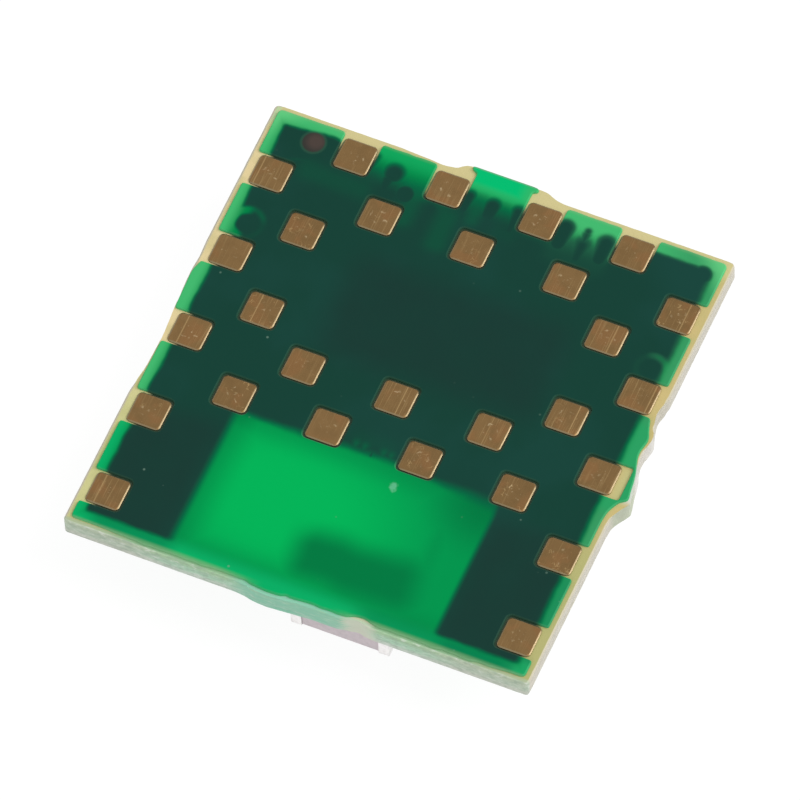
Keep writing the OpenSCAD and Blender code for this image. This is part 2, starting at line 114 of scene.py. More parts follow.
def spaced(outline, step):
    """The same closed outline, with a point at least every step and none much closer."""
    too_short = 0.05 * step
    points = []
    for a, b in zip(outline, outline[1:] + outline[:1]):
        if (b - a).length > too_short:
            count = max(1, round((b - a).length / step))
            points += [a.lerp(b, i / count) for i in range(count)]
    return points


def inward(outline):
    """The direction into the solid at each point of an outline."""
    ahead = outline[1:] + outline[:1]
    behind = outline[-1:] + outline[:-1]
    return [Vector((b.y - a.y, a.x - b.x)).normalized() for a, b in zip(ahead, behind)]


def skin(work, rings):
    """Joins rings of points, from the lowest up, with a band of faces between each two."""
    for lower, upper in zip(rings, rings[1:]):
        for i in range(len(lower)):
            work.faces.new((lower[i - 1], lower[i], upper[i], upper[i - 1]))


def lid(work, rings, facing):
    """Closes rings in one plane, the solid on their left, with a flat cover facing up, 1, or down, -1."""
    same_point = 1e-6
    corners = [v for ring in rings for v in ring]
    number = {v: i for i, v in enumerate(corners)}
    border = [(number[ring[i - 1]], number[ring[i]]) for ring in rings for i in range(len(ring))]
    cut = geometry.delaunay_2d_cdt([v.co.xy / mm for v in corners], border, [], 0, same_point)
    on_left = {(t[i - 1], t[i]): t for t in cut[2] for i in range(3)}
    inside = list(dict.fromkeys(tuple(on_left[pair]) for pair in border))
    found = set(inside)
    walls = set(border)
    for t in inside:
        for i in range(3):
            across = (t[i], t[i - 1])
            beyond = on_left.get(across)
            if beyond and across[::-1] not in walls and tuple(beyond) not in found:
                found.add(tuple(beyond))
                inside.append(tuple(beyond))
    for t in inside:
        work.faces.new([corners[i] for i in t[::facing]])


def settled(made):
    """Turns an object with its modifiers into a plain mesh."""
    graph = bpy.context.evaluated_depsgraph_get()
    made.data = bpy.data.meshes.new_from_object(made.evaluated_get(graph), depsgraph=graph)
    made.modifiers.clear()
    return made


def shaded(made, crease):
    """Rounds the shading of eased edges, and keeps that of flat faces flat."""
    level_slope = 0.9999
    same_turn = 0.7
    made.data.shade_smooth()
    made.data.set_sharp_from_angle(angle=crease)
    weighted = made.modifiers.new("weighted", "WEIGHTED_NORMAL")
    weighted.weight = 100
    weighted.keep_sharp = True
    mesh = settled(made).data
    level = {}
    for face in mesh.polygons:
        if abs(face.normal.z) > level_slope:
            level.update((v, face.normal.copy()) for v in face.vertices)
    normals = []
    for face in mesh.polygons:
        for corner, v in zip(face.loop_indices, face.vertices):
            lies_level = v in level and face.normal.dot(level[v]) > same_turn
            normals.append(level[v] if lies_level else mesh.corner_normals[corner].vector.copy())
    mesh.normals_split_custom_set(normals)
    return made


def piece_from(name, work, material, crease=math.radians(35)):
    """A finished object from a bmesh, at the origin."""
    mesh = bpy.data.meshes.new(name)
    work.to_mesh(mesh)
    work.free()
    mesh.materials.append(material)
    made = bpy.data.objects.new(name, mesh)
    bpy.context.scene.collection.objects.link(made)
    return shaded(made, crease)


def stands_for(made, slot, *nodes):
    """Puts a finished object in place of CAD nodes. The slot argument is not used."""
    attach(made, "root")
    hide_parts(*nodes)


class Field:
    """An output socket of a node tree. Arithmetic on fields adds Math nodes."""

    def __init__(self, tree, socket=None):
        self.tree = tree
        self.socket = socket

    def node(self, kind, settings=None, inputs=None, output=0):
        """Adds a node with its settings, then its inputs by identifier or number; gives one output."""
        made = self.tree.nodes.new(kind)
        for key, value in (settings or {}).items():
            setattr(made, key, value)
        sockets = {s.identifier: s for s in made.inputs}
        for key, value in (inputs or {}).items():
            socket = made.inputs[key] if isinstance(key, int) else sockets[key]
            if isinstance(value, Field):
                self.tree.links.new(value.socket, socket)
            else:
                socket.default_value = value
        outputs = {s.identifier: s for s in made.outputs}
        return Field(self.tree, made.outputs[output] if isinstance(output, int) else outputs[output])

    def math(self, operation, first, second=0.0):
        return self.node("ShaderNodeMath", {"operation": operation}, {0: first, 1: second})

    def vector(self, operation, second, output=0):
        return self.node("ShaderNodeVectorMath", {"operation": operation}, {0: self, 1: second}, output)

    def __add__(self, other):
        return self.math("ADD", self, other)

    __radd__ = __add__

    def __sub__(self, other):
        return self.math("SUBTRACT", self, other)

    def __rsub__(self, other):
        return self.math("SUBTRACT", other, self)

    def __mul__(self, other):
        return self.math("MULTIPLY", self, other)

    __rmul__ = __mul__

    def __truediv__(self, other):
        return self.math("DIVIDE", self, other)

    def __or__(self, other):
        return self.math("MAXIMUM", self, other)

    def __abs__(self):
        return self.math("ABSOLUTE", self)

    def into(self, node, socket):
        self.tree.links.new(self.socket, node.inputs[socket])


def colour(red, green, blue):
    """A colour as a shader takes it, from its screen values of 0 to 255."""
    def straight(c):
        return c / 12.92 if c <= 0.04045 else ((c + 0.055) / 1.055) ** 2.4
    return (straight(red / 255), straight(green / 255), straight(blue / 255), 1)


def new_finish(name, **constants):
    """A material's shader with its constant sockets set, and the place on the piece in millimetres."""
    material = bpy.data.materials.new(name)
    material.use_nodes = True
    shader = material.node_tree.nodes["Principled BSDF"]
    for key, value in constants.items():
        shader.inputs[key.replace("_", " ").title().replace("Ior", "IOR")].default_value = value
    place = Field(material.node_tree).node("ShaderNodeTexCoord", output="Object")
    return material, shader, scaled(place, (1 / mm, 1 / mm, 1 / mm))


def scaled(place, factors):
    return place.vector("MULTIPLY", factors)


def along(place, axis):
    return place.node("ShaderNodeSeparateXYZ", inputs={"Vector": place}, output=axis)


def step_up(value, low, high):
    """0 at low and 1 at high, smoothly."""
    return value.node("ShaderNodeMapRange", {"interpolation_type": "SMOOTHSTEP"},
                      {"Value": value, "From Min": low, "From Max": high})


def cloudy(place, scale, detail=3.0, roughness=0.5):
    """Soft noise from 0 to 1, with scale patches to a millimetre."""
    return place.node("ShaderNodeTexNoise", inputs={
        "Vector": place, "Scale": scale, "Detail": detail, "Roughness": roughness})


def blend(share, first, second):
    """Two colours mixed by a share of the second."""
    return share.node("ShaderNodeMix", {"data_type": "RGBA"},
                      {"Factor_Float": share, "A_Color": first, "B_Color": second}, "Result_Color")


def bumped(shader, height, distance):
    """Raises the surface by a height of 0 to 1 times a distance."""
    height.node("ShaderNodeBump", inputs={"Height": height, "Distance": distance}).into(shader, "Normal")


def between(value, low, high, soft):
    """1 from low to high, fading to 0 over soft on both sides of each."""
    return step_up(value, low - soft, low + soft) - step_up(value, high - soft, high + soft)


def patch(place, low_x, high_x, low_y, high_y, soft):
    """1 inside a rectangle of the board and 0 outside, with soft edges."""
    return between(along(place, "X"), low_x, high_x, soft) * between(along(place, "Y"), low_y, high_y, soft)


# Places in the finishes are in millimetres from the board's middle, with soft borders
# Painted light: pale green for light from the green film that bleeds through the glass-epoxy
bled_light_green = colour(146, 208, 180)
torn_white = colour(225, 222, 217)
crushed_cream = colour(220, 224, 204)


def rim_look(place, low_stub, right_stub, crushed):
    """The face under the solder mask, which shows as a tan rim."""
    tan = colour(230, 210, 158)
    tan_right = colour(208, 187, 125)
    tan_low = colour(208, 205, 144)
    tan_low_right = colour(183, 180, 117)
    tan_back = colour(212, 200, 143)
    tan_corner = colour(190, 210, 162)
    tan_pale = colour(200, 192, 131)
    tan_moat = colour(168, 168, 108)
    over_copper = colour(44, 66, 46)
    strip_tan = colour(178, 190, 152)
    strip_green = colour(150, 190, 148)
    across = along(place, "X")
    up = along(place, "Y")
    rim = blend(step_up(across, 1.5, 4.2), tan, tan_right)
    low_tan = blend(step_up(across, -1, 3), tan_low, tan_low_right)
    rim = blend(step_up(up, -0.9, -2.1), rim, low_tan)
    rim = blend(0.35 * step_up(cloudy(place, 3, 3), 0.4, 0.7), rim, tan_low_right)
    rim = blend(patch(place, 4.3, 4.6, -0.7, 0.05, 0.12), rim, tan_pale)
    rim = blend(patch(place, -4.1, 4.18, -4.42, 4.42, 0.07), rim, over_copper)
    moats = patch(place, -1.34, -1.1, 4.0, 4.6, 0.08) | patch(place, 2.25, 2.5, 4.26, 4.6, 0.08)
    rim = blend(0.8 * moats, rim, tan_moat)
    at_back = step_up(up, 4.2, 4.5)
    rim = blend(at_back, rim, tan_back)
    rim = blend(step_up(across, -4.3, -4.4) * at_back, rim, tan_corner)
    front_strip = blend(step_up(abs(across), 2.9, 4.1), strip_green, strip_tan)
    rim = blend(step_up(up, -4.6, -4.66), rim, front_strip)
    # Painted light on the lower stub's top, where the film's green bleeds through
    rim = blend(low_stub, rim, bled_light_green)
    rim = blend(0.55 * crushed, rim, crushed_cream)
    return blend(right_stub * between(up, -0.62, 0.5, 0.1), rim, torn_white)


def side_look(place, fibres, grains, low_stub, right_stub, crushed):
    """The routed and torn sides, where the plies of glass cloth show."""
    side_warm = colour(214, 208, 194)
    side_grey = colour(193, 189, 175)
    side_tan = colour(208, 199, 170)
    front_low = colour(214, 225, 212)
    front_mid = colour(184, 221, 192)
    front_top = colour(174, 210, 168)
    front_end = colour(206, 202, 188)
    front_dark = colour(154, 176, 156)
    front_fibre = colour(232, 236, 228)
    torn_pale = colour(188, 197, 173)
    across = along(place, "X")
    up = along(place, "Y")
    height = along(place, "Z")
    plies = cloudy(scaled(place, (0.9, 0.9, 9)), 1, 2)
    side = blend(step_up(fibres, 0.35, 0.68), side_grey, side_warm)
    side = blend(0.3 * step_up(plies, 0.5, 0.75), side, side_tan)
    side = blend(0.7 * step_up(height, 1.69, 1.745), side, side_tan)
    # Greener towards the top: painted light that bleeds through from the green film
    front = blend(step_up(height, 1.43, 1.56), front_low, front_mid)
    front = blend(step_up(height, 1.6, 1.74), front, front_top)
    front = blend(0.55 * step_up(abs(across), 2.2, 3.4), front, front_end)
    front = blend(0.45 * step_up(fibres, 0.55, 0.3), front, front_dark)
    front = blend(0.44 * step_up(grains, 0.5, 0.38), front, front_dark)
    front = blend(0.52 * step_up(grains, 0.53, 0.66), front, front_fibre)
    side = blend(step_up(up, -4.6, -4.68), side, front)
    # Painted light on the lower stub's side, where the film's green bleeds through
    side = blend(low_stub * step_up(fibres, 0.85, 0.4), side, bled_light_green)
    side = blend(0.85 * crushed, side, crushed_cream)
    torn = blend(step_up(up, -0.35, -0.05), torn_pale, torn_white)
    return blend(0.8 * right_stub, side, torn)


def glass_epoxy():
    material, shader, place = new_finish("glass_epoxy", roughness=0.55, specular_ior_level=0.3)
    across = along(place, "X")
    up = along(place, "Y")
    fibres = cloudy(scaled(place, (3.5, 3.5, 32)), 1, 4, 0.6)
    grains = cloudy(scaled(place, (5.5, 11, 11)), 1, 4, 0.65)
    low_stub = between(across, -1.15, 1.0, 0.25) * step_up(up, -4.58, -4.67)
    right_stub = step_up(across, 4.46, 4.52) * between(up, -1.05, 0.95, 0.1)
    crushed = between(across + 0.5 * (fibres - 0.5), 0.95, 1.5, 0.14) * step_up(up, -4.5, -4.6)
    rim = rim_look(place, low_stub, right_stub, crushed)
    side = side_look(place, fibres, grains, low_stub, right_stub, crushed)
    on_top = step_up(along(place, "Z"), 1.7605, 1.7645)
    blend(on_top, side, rim).into(shader, "Base Color")
    bumped(shader, 0.5 * fibres + 0.5 * grains, 0.014 * mm)
    return material


laminate_low, laminate_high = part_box("board_laminate")


def uneven(at, grain, decay=0.7, finer=2, octaves=3):
    """Noise of about 0 to 1 with grain waves to a unit, and weaker ones that are finer by a factor."""
    return 0.5 + 0.5 * noise.fractal(at * grain, decay, finer, octaves)


def handled(p):
    """How far the rim is worn round at a point: the front and the sides are, and the back hardly."""
    front = smoothed(-p.y / mm, *front_rim)
    left = left_wear * smoothed(-p.x / mm, *side_rim)
    right = right_wear * smoothed(p.x / mm, *side_rim)
    return least_wear + (1 - least_wear) * max(front, left, right)


def laminate_mesh():
    outline = spaced(top_outlines(cad_copy("board_laminate"))[0], edge_step)
    thickness = laminate_high.z - laminate_low.z
    work = bmesh.new()
    rings = []
    for share, worn in side_levels:
        z = laminate_low.z + share * thickness
        ring = []
        for p, into in zip(outline, inward(outline)):
            off_side = abs(max(abs(p.x) - board_half_w, abs(p.y) - board_half_l))
            stub = smoothed(off_side, torn_from, torn_to)
            torn = stub * smoothed(share, 0, fray_foot) * (1 - fray_lost * share ** 4)
            at = Vector((p.x, p.y, z)) / mm
            chatter = uneven(at, routed_grain)
            fray = uneven(at, torn_grain, 0.6, 2.1, 4)
            inset = worn * mm * handled(p) * (1 - stub) + routed_depth * max(chatter, 0)
            inset += torn_depth * torn * min(max(fray, 0), 1)
            ring.append(work.verts.new((*(p + into * inset), z)))
        rings.append(ring)
    skin(work, rings)
    lid(work, rings[:1], -1)
    lid(work, rings[-1:], 1)
    return work


board = piece_from("board", laminate_mesh(), glass_epoxy())
stands_for(board, "laminate", "board_laminate")


# Ground copper
# Etched copper foil on the pad side of the laminate, with an open window at the antenna's end.
# The solder mask covers all of it, so it stays as built, in dull oxidised copper.

def dull_copper(name, bright, dark):
    material, shader, place = new_finish(name, metallic=1.0)
    grain = cloudy(place, 14, 4)
    blend(step_up(grain, 0.3, 0.7), bright, dark).into(shader, "Base Color")
    (0.38 + 0.25 * grain).into(shader, "Roughness")
    return material


def finish_node(node, material):
    """Gives a CAD node, kept as it was built, its finish."""
    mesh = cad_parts[node].data
    mesh.materials.clear()
    mesh.materials.append(material)


copper_bright = colour(150, 92, 58)
copper_dark = colour(96, 58, 40)
finish_node("ground_copper", dull_copper("oxidised_copper", copper_bright, copper_dark))


# Contact pads
# Twenty-eight square pads of copper foil plated with nickel and gold. Etching rounds their corners
# and edges, a probe has marked their middles, and handling has left fine straight scratches.

pad_nodes = ["contact_pads_left", "contact_pads_right", "contact_pads_upper", "contact_pads_lower",
             "contact_pads_inner"]
pad_corner = 0.09 * mm
pad_edge = 0.032 * mm
pad_corner_points = 7
pad_seed = 4
# Slopes of the eased edge, from its foot: share of the edge's width upwards, share inwards
pad_slopes = [(0.25, 0.05), (0.42, 0.62), (0.08, 0.33)]
# Marks of the test probe's point and crown, in millimetres from the pad's middle: from, to, half width
probe_marks = [((0, 0, 0), (0.012, 0.012, 0), 0.016), ((-0.13, 0.07, 0), (-0.07, 0.13, 0), 0.012),
               ((0.08, 0.1, 0), (0.13, 0.06, 0), 0.011), ((-0.13, -0.05, 0), (-0.08, -0.09, 0), 0.012),
               ((0.07, -0.09, 0), (0.11, -0.13, 0), 0.012)]


def islands(node):
    """The lowest and highest corner of each separate solid of a CAD node."""
    work = cad_copy(node)
    left = set(work.verts)
    boxes = []
    while left:
        group = [left.pop()]
        for v in group:
            near = {e.other_vert(v) for e in v.link_edges} & left
            left -= near
            group += near
        corners = list(zip(*(v.co for v in group)))
        boxes.append((Vector(map(min, corners)), Vector(map(max, corners))))
    work.free()
    return sorted(boxes, key=lambda b: tuple(b[0]))


def streak(place, start, end, radius, soft):
    """1 along a straight mark from start to end with round ends, and 0 away from it, with soft sides."""
    run = Vector(end) - Vector(start)
    from_start = place.vector("SUBTRACT", start)
    share = from_start.vector("DOT_PRODUCT", run / run.length_squared, "Value")
    share = place.node("ShaderNodeClamp", inputs={"Value": share, "Min": 0.0, "Max": 1.0})
    nearest = place.node("ShaderNodeVectorMath", {"operation": "SCALE"}, {0: run, "Scale": share})
    away = from_start.vector("DISTANCE", nearest, "Value")
    return 1 - step_up(away, radius - soft, radius + soft)


def spot(place, x, y, radius, soft):
    """1 inside a round spot and 0 outside, with a soft edge."""
    return 1 - step_up(place.vector("DISTANCE", (x, y, 0), "Value"), radius - soft, radius + soft)


def plated_gold():
    material, shader, place = new_finish("plated_gold", metallic=0.92)
    gold = colour(130, 102, 65)
    gold_dark = colour(116, 91, 57)
    gold_red = colour(136, 99, 62)
    gold_bright = colour(190, 162, 114)
    edge_nickel = colour(138, 124, 96)
    mark_white = colour(232, 212, 172)
    own = place.node("ShaderNodeAttribute", {"attribute_name": "pad_place"}, output="Vector")
    own = scaled(own, (1, 1, 0))
    chance = place.node("ShaderNodeAttribute", {"attribute_name": "pad_chance"}, output="Fac")
    draws = [place.math("FRACT", times * chance) for times in (7.3, 11.9, 17.7)]
    mottle = cloudy(place, 4, 4, 0.6)
    base = blend(0.5 * step_up(mottle, 0.35, 0.7) + 0.5 * draws[1], gold, gold_dark)
    base = blend(0.6 * step_up(cloudy(place, 2.2, 2), 0.5, 0.65), base, gold_red)
    lines = cloudy(scaled(place, (46, 1.4, 1)), 1, 2)
    base = blend(0.32 * step_up(lines, 0.55, 0.72) * (0.25 + 0.75 * chance), base, gold_bright)
    # One long scratch, at a different place on each pad
    off_line = abs(along(own, "X") - 0.46 * (draws[0] - 0.5))
    scratch = (1 - step_up(off_line, 0.004, 0.016)) * step_up(chance, 0.55, 0.65)
    base = blend(0.38 * scratch, base, gold_bright)
    # What the probe left, turned another way on each pad, and faint curls of rubbed plating
    turned = place.node("ShaderNodeVectorRotate", {"rotation_type": "Z_AXIS"}, {
        "Vector": own, "Center": (0.02, -0.03, 0), "Angle": 1.2 * (draws[2] - 0.5)})
    marks = 0.5 * step_up(cloudy(place, 19, 3), 0.66, 0.72) * spot(own, 0, 0, 0.12, 0.1)
    pressed = step_up(cloudy(place, 9, 3), 0.45, 0.7)
    wander = place.node("ShaderNodeTexNoise", inputs={"Vector": place, "Scale": 16.0}, output="Color")
    turned = turned.vector("ADD", scaled(wander.vector("SUBTRACT", (0.5, 0.5, 0)), (0.09, 0.09, 0)))
    for start, end, radius in probe_marks:
        marks = marks | 0.5 * pressed * streak(turned, start, end, radius, 0.95 * radius)
    curls = 1 - step_up(abs(cloudy(place, 7, 2) - 0.5), 0.004, 0.022)
    curls = curls * step_up(cloudy(place, 4.5, 2), 0.52, 0.62) * step_up(draws[1], 0.25, 0.7)
    base = blend(0.4 * curls, base, gold_bright)
    base = blend(0.7 * marks, base, mark_white)
    from_middle = abs(along(own, "X")) | abs(along(own, "Y"))
    base = blend(0.8 * step_up(from_middle, 0.294, 0.304), base, edge_nickel)
    base.into(shader, "Base Color")
    (0.3 + 0.16 * mottle - 0.1 * marks).into(shader, "Roughness")
    bumped(shader, 0.5 * lines + 0.4 * scratch + 0.5 * marks + 0.3 * curls, 0.004 * mm)
    return material


def pad_tree():
    """Rounded squares with eased edges, one on each point."""
    tree = bpy.data.node_groups.new("contact_pads", "GeometryNodeTree")
    face = tree.interface
    face.new_socket("Places", in_out="INPUT", socket_type="NodeSocketGeometry")
    for name in ("Pad Size", "Corner Radius", "Thickness", "Edge"):
        face.new_socket(name, in_out="INPUT", socket_type="NodeSocketFloat")
    for name in ("Corner Points", "Seed"):
        face.new_socket(name, in_out="INPUT", socket_type="NodeSocketInt")
    face.new_socket("Finish", in_out="INPUT", socket_type="NodeSocketMaterial")
    face.new_socket("Pads", in_out="OUTPUT", socket_type="NodeSocketGeometry")
    group = tree.nodes.new("NodeGroupInput")
    given = {s.name: Field(tree, s) for s in group.outputs}
    make = Field(tree).node
    square = make("GeometryNodeCurvePrimitiveQuadrilateral", {"mode": "RECTANGLE"},
                  {"Width": given["Pad Size"], "Height": given["Pad Size"]})
    outline = make("GeometryNodeFilletCurve", {"mode": "POLY"},
                   {"Curve": square, "Count": given["Corner Points"], "Radius": given["Corner Radius"]})
    base = make("GeometryNodeFillCurve", {"mode": "NGONS"}, {"Curve": outline})
    under = make("GeometryNodeFlipFaces", {}, {"Mesh": base})
    pad = base
    picked = True
    foot = 1 - sum(up for up, inwards in pad_slopes)
    straight = given["Thickness"] - (1 - foot) * given["Edge"]
    for rise, inwards in [(straight, 0)] + [(up * given["Edge"], inwards) for up, inwards in pad_slopes]:
        raised = tree.nodes.new("GeometryNodeExtrudeMesh")
        raised.inputs["Individual"].default_value = False
        tree.links.new(pad.socket, raised.inputs["Mesh"])
        if isinstance(picked, Field):
            tree.links.new(picked.socket, raised.inputs["Selection"])
        raised.inputs["Offset"].default_value = (0, 0, 1)
        tree.links.new(rise.socket, raised.inputs["Offset Scale"])
        picked = Field(tree, raised.outputs["Top"])
        shrink = 1 - 2 * inwards * given["Edge"] / given["Pad Size"]
        pad = make("GeometryNodeScaleElements", {"domain": "FACE"},
                   {"Geometry": Field(tree, raised.outputs["Mesh"]), "Selection": picked, "Scale": shrink})
    closed = tree.nodes.new("GeometryNodeJoinGeometry")
    tree.links.new(pad.socket, closed.inputs[0])
    tree.links.new(under.socket, closed.inputs[0])
    solid = make("GeometryNodeMergeByDistance", {},
                 {"Geometry": Field(tree, closed.outputs[0]), "Distance": merge_reach})
    own = make("ShaderNodeVectorMath", {"operation": "SCALE"},
               {0: make("GeometryNodeInputPosition"), "Scale": 1 / mm})
    solid = make("GeometryNodeStoreNamedAttribute", {"data_type": "FLOAT_VECTOR", "domain": "POINT"},
                 {"Geometry": solid, "Name": "pad_place", "Value": own})
    chance = make("FunctionNodeRandomValue", {"data_type": "FLOAT"}, {"Seed": given["Seed"]}, "Value_001")
    places = make("GeometryNodeStoreNamedAttribute", {"data_type": "FLOAT", "domain": "POINT"},
                  {"Geometry": given["Places"], "Name": "pad_chance", "Value": chance})
    pads = make("GeometryNodeInstanceOnPoints", {}, {"Points": places, "Instance": solid})
    pads = make("GeometryNodeRealizeInstances", {}, {"Geometry": pads})
    pads = make("GeometryNodeSetMaterial", {}, {"Geometry": pads, "Material": given["Finish"]})
    tree.links.new(pads.socket, tree.nodes.new("NodeGroupOutput").inputs["Pads"])
    return tree


def grown(name, places, tree, values):
    """The plain mesh that a node tree grows on points, as a finished object."""
    mesh = bpy.data.meshes.new(name)
    mesh.from_pydata(places, [], [])
    made = bpy.data.objects.new(name, mesh)
    bpy.context.scene.collection.objects.link(made)
    maker = made.modifiers.new("maker", "NODES")
    maker.node_group = tree
    for item in tree.interface.items_tree:
        if item.in_out == "INPUT" and item.name in values:
            maker[item.identifier] = values[item.name]
    return shaded(settled(made), crease=math.radians(22))


pad_boxes = [box for node in pad_nodes for box in islands(node)]
pad_low, pad_high = pad_boxes[0]
pad_places = [((low.x + high.x) / 2, (low.y + high.y) / 2, low.z) for low, high in pad_boxes]
contact_pads = grown("contact_pads", pad_places, pad_tree(), {
    "Pad Size": pad_high.x - pad_low.x, "Corner Radius": pad_corner, "Thickness": pad_high.z - pad_low.z,
    "Edge": pad_edge, "Corner Points": pad_corner_points, "Seed": pad_seed, "Finish": plated_gold()})
stands_for(contact_pads, "gold_plate", *pad_nodes)


# Solder mask on the pad side
# A cured film of clear green lacquer, printed over the copper with an opening round each pad.
# Where copper lies under it the film looks dark, and over bare laminate it glows green.

mask_edge = 0.03 * mm
mask_step = 0.02 * mm
corner_passes = 7
mask_front = 4.615 * mm
mask_creep = 0.06 * mm
creep_start = mask_front - 0.02 * mm
creep_grain = 4
back_creep = 0.42
# How far the film runs, as shares of its full creep: evenly, with the noise, and at least
creep_even = 0.3
creep_ragged = 0.8
creep_least = 0.2
# Where the film runs out along the front, from the left and from the right: none, full, in millimetres
creep_left = (-3.9, -2.9)
creep_right = (4.2, 3.4)
stub_neck = 0.54 * mm
horn_foot = 4.67 * mm
horn_slope = 0.6
horn_reach = 0.05 * mm
# The film's rounded edge, from its foot: share of its width inwards, share of the film's height
mask_levels = [(0, 0), (0, 0.2), (0.07, 0.45), (0.25, 0.72), (0.55, 0.92), (1, 1)]
mask_low, mask_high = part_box("host_solder_mask")


def edge_widths(outlines):
    """How wide the film's edge is rounded at each point, less where the film is narrow."""
    least = 0.1 * mask_edge
    narrower = 0.8
    reach = 1.3
    room = 1.1
    neighbours = range(-3, 4)
    points = [p for outline in outlines for p in outline]
    near = kdtree.KDTree(len(points))
    for i, p in enumerate(points):
        near.insert((p.x, p.y, 0), i)
    near.balance()
    for outline in outlines:
        widths = []
        for p, into in zip(outline, inward(outline)):
            width = mask_edge
            while width > least and near.find((*(p + into * reach * width), 0))[2] < room * width:
                width *= narrower
            widths.append(width)
        for pick in (min, lambda group: sum(group) / len(group)):
            groups = [[widths[(i + n) % len(widths)] for n in neighbours] for i in range(len(widths))]
            widths = [pick(group) for group in groups]
        yield widths


def torn_off(p):
    """Whether a point of the film's outline lies under the slope at which the stub's film tore."""
    return horn_foot - horn_reach < p.y < horn_foot + horn_slope * (abs(p.x) - stub_neck)


def crept(p):
    """A point of the film's outline, which has run out unevenly along the front and less along the back."""
    ragged = uneven(Vector((p.x, p.y, 0)) / mm, creep_grain)
    share = back_creep if p.y > 0 else smoothed(p.x / mm, *creep_left) * smoothed(p.x / mm, *creep_right)
    reach = mask_creep * share * min(max(creep_even + creep_ragged * ragged, creep_least), 1)
    far = max(abs(p.y), mask_front + reach)
    if abs(p.y) < mask_front:
        far = abs(p.y) + reach * smoothed(abs(p.y), creep_start, mask_front)
    return Vector((p.x, math.copysign(far, p.y)))


def rounded(outline):
    """The same outline with its corners rounded, by drawing each point towards its neighbours."""
    for turn in range(corner_passes):
        ahead = outline[1:] + outline[:1]
        behind = outline[-1:] + outline[:-1]
        outline = [0.25 * a + 0.5 * p + 0.25 * b for a, p, b in zip(ahead, outline, behind)]
    return outline


def mask_mesh():
    outlines = top_outlines(cad_copy("host_solder_mask"))
    outlines = [spaced([p for p in outline if not torn_off(p)], mask_step) for outline in outlines]
    outlines = [rounded([crept(p) for p in outline]) for outline in outlines]
    work = bmesh.new()
    rim = work.verts.layers.float.new("rim")
    feet = []
    tops = []
    for outline, widths in zip(outlines, edge_widths(outlines)):
        rings = []
        for inwards, height in mask_levels:
            z = mask_low.z + height * (mask_high.z - mask_low.z)
            ring = [work.verts.new((*(p + into * inwards * width), z))
                    for p, into, width in zip(outline, inward(outline), widths)]
            for v in ring:
                v[rim] = 1 - inwards
            rings.append(ring)
        skin(work, rings)
        feet.append(rings[0])
        tops.append(rings[-1])
    lid(work, feet, -1)
    lid(work, tops, 1)
    return work


def round_band(place, x, y, inner, outer, soft):
    """1 between two radii round a point and 0 elsewhere, with soft edges."""
    return spot(place, x, y, outer, soft) - spot(place, x, y, inner, soft)


# Where thin gaps in the copper run up from the window
window_comb = (-0.28, -0.11, 0.25, 0.4)
# Holes and fingers of copper seen dark through the film: x, y, reach down the board, radius, softness
copper_fingers = [
    (-2.36, 4.33, 0.5, 0.08, 0.12), (-1.91, 4.13, 0.03, 0.2, 0.12), (-1.96, 3.95, 0.4, 0.16, 0.16),
    (-1.56, 3.8, 0.02, 0.2, 0.09), (-1.0, 3.7, 0.06, 0.17, 0.15), (-1.03, 3.5, 0.3, 0.12, 0.16),
    (-0.47, 4.2, 0.3, 0.13, 0.12), (0.0, 4.15, 0.2, 0.17, 0.12), (0.47, 4.21, 0.4, 0.13, 0.13),
    (1.38, 4.24, 0.36, 0.17, 0.11), (1.79, 4.32, 0.02, 0.05, 0.1), (1.79, 4.24, 0.3, 0.06, 0.12),
    (1.8, 4.0, 0.3, 0.17, 0.2), (2.19, 4.2, 0.36, 0.17, 0.13), (4.02, 4.25, 0.02, 0.18, 0.07),
    (-3.93, 2.15, 0.02, 0.15, 0.06), (3.93, 2.06, 0.02, 0.15, 0.08), (0.06, -1.36, 0.1, 0.03, 0.06)]
# Places where the copper on the other side is missing too, so some light comes up: share, box, softness
thin_places = [
    (0.2, -0.9, -0.42, 2.85, 3.85, 0.2), (0.22, -1.6, -1.18, 3.1, 3.95, 0.2),
    (0.16, -3.6, -2.1, 3.35, 3.85, 0.22), (0.14, 1.15, 2.4, 3.45, 3.9, 0.22),
    (0.22, -0.42, -0.1, 3.6, 4.0, 0.16), (0.1, 0.1, 0.7, 3.5, 3.9, 0.2), (0.12, -0.5, 0.5, -1.4, -1.0, 0.25)]


def wavered(flat):
    """Places on the film, pushed about a little, for the uneven border of etched copper."""
    sideways = 0.12 * (cloudy(flat, 1.5, 2) - 0.5)
    lengthways = 0.08 * (cloudy(scaled(flat, (1, 2, 1)), 2.3, 2) - 0.5)
    return flat.vector("ADD", flat.node("ShaderNodeCombineXYZ", inputs={"X": sideways, "Y": lengthways}))


